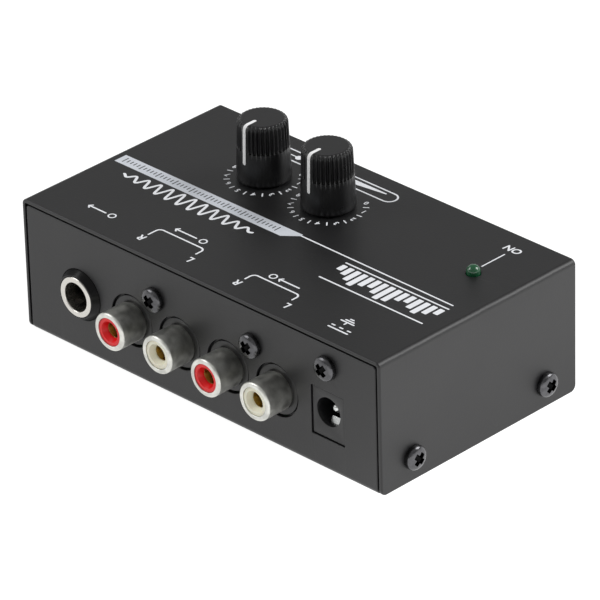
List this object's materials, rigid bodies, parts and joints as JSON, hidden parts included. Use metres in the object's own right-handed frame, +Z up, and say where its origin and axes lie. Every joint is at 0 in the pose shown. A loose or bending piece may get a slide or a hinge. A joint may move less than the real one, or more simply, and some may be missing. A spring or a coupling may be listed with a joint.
{
  "type": "phono preamp",
  "caption": "Low folded-steel audio box with dials on top, phono, stereo and power sockets and a ground screw along one side.",
  "frame": {"origin": "centre of the underside of the case", "axes": "+Z up, +Y towards the sockets, -Y towards the user, +X towards the stereo socket"},
  "size_m": [0.1066, 0.064, 0.0447],
  "materials": {
    "case_coat": "satin black powder coat",
    "black_screw": "black oxide, slightly glossy",
    "ground_screw": "black oxide, slightly glossy",
    "plated_steel": "bright zinc plate",
    "tinned_copper": "bright tin",
    "green_insulation": "satin",
    "black_moulding": "satin moulded",
    "nickel_shell": "bright nickel plate",
    "red_insert": "satin moulded",
    "white_insert": "satin moulded",
    "brass_contact": "bright",
    "silver_ring": "bright plate",
    "spring_metal": "bright",
    "board_green": "solder mask",
    "brown_laminate": "matte",
    "shaft_plastic": "satin moulded",
    "knob_black": "satin moulded",
    "pointer_white": "satin",
    "green_lens": "gloss, clear coloured resin",
    "can_sleeve": "shrunk sleeve",
    "film_red": "dipped resin",
    "resistor_blue": "lacquer"
  },
  "bodies": {
    "case": {"top_cover": "case_coat", "base_chassis": "case_coat", "cover_screws": "black_screw", "jack_screws": "black_screw", "ground_nut": "plated_steel", "ground_lug": "tinned_copper", "ground_wire": "green_insulation", "output_jack_block": "black_moulding", "input_jack_block": "black_moulding", "jack_shells": "nickel_shell", "red_jack_inserts": "red_insert", "white_jack_inserts": "white_insert", "jack_contacts": "brass_contact", "stereo_jack_body": "black_moulding", "stereo_jack_ferrule": "silver_ring", "stereo_jack_tip_spring": "spring_metal", "stereo_jack_ring_spring": "spring_metal", "power_jack_body": "black_moulding", "power_jack_pin": "tinned_copper", "power_jack_spring": "spring_metal", "circuit_board": "board_green", "board_standoffs": "plated_steel", "board_screws": "plated_steel", "pot_wafers": "brown_laminate", "pot_cases": "plated_steel", "pot_bushings": "brass_contact", "pot_terminals": "tinned_copper", "led_lens": "green_lens", "led_leads": "tinned_copper", "led_spacer": "black_moulding", "op_amps": "black_moulding", "op_amp_pins": "tinned_copper", "electrolytic_capacitors": "can_sleeve", "film_capacitors": "film_red", "resistors": "resistor_blue", "resistor_leads": "tinned_copper", "regulator": "black_moulding", "regulator_legs": "tinned_copper"},
    "trim_dial": {"trim_knob": "knob_black", "trim_pointer": "pointer_white", "trim_shaft": "shaft_plastic", "trim_wiper": "brass_contact"},
    "level_dial": {"level_knob": "knob_black", "level_pointer": "pointer_white", "level_shaft": "shaft_plastic", "level_wiper": "brass_contact"},
    "ground_terminal": {"ground_screw": "ground_screw"}
  },
  "joints": [
    {"name": "trim_turn", "type": "hinge", "parent": "case", "child": "trim_dial", "pos_m": [0.0205, -0.0115, 0.0306], "axis": [0, 0, 1], "range_deg": [-140, 140]},
    {"name": "level_turn", "type": "hinge", "parent": "case", "child": "level_dial", "pos_m": [0.0018, -0.0115, 0.0306], "axis": [0, 0, 1], "range_deg": [-140, 140]},
    {"name": "ground_screw_out", "type": "slide", "parent": "case", "child": "ground_terminal", "axis": [0, 1, 0], "range_m": [0, 0.0025]}
  ]
}
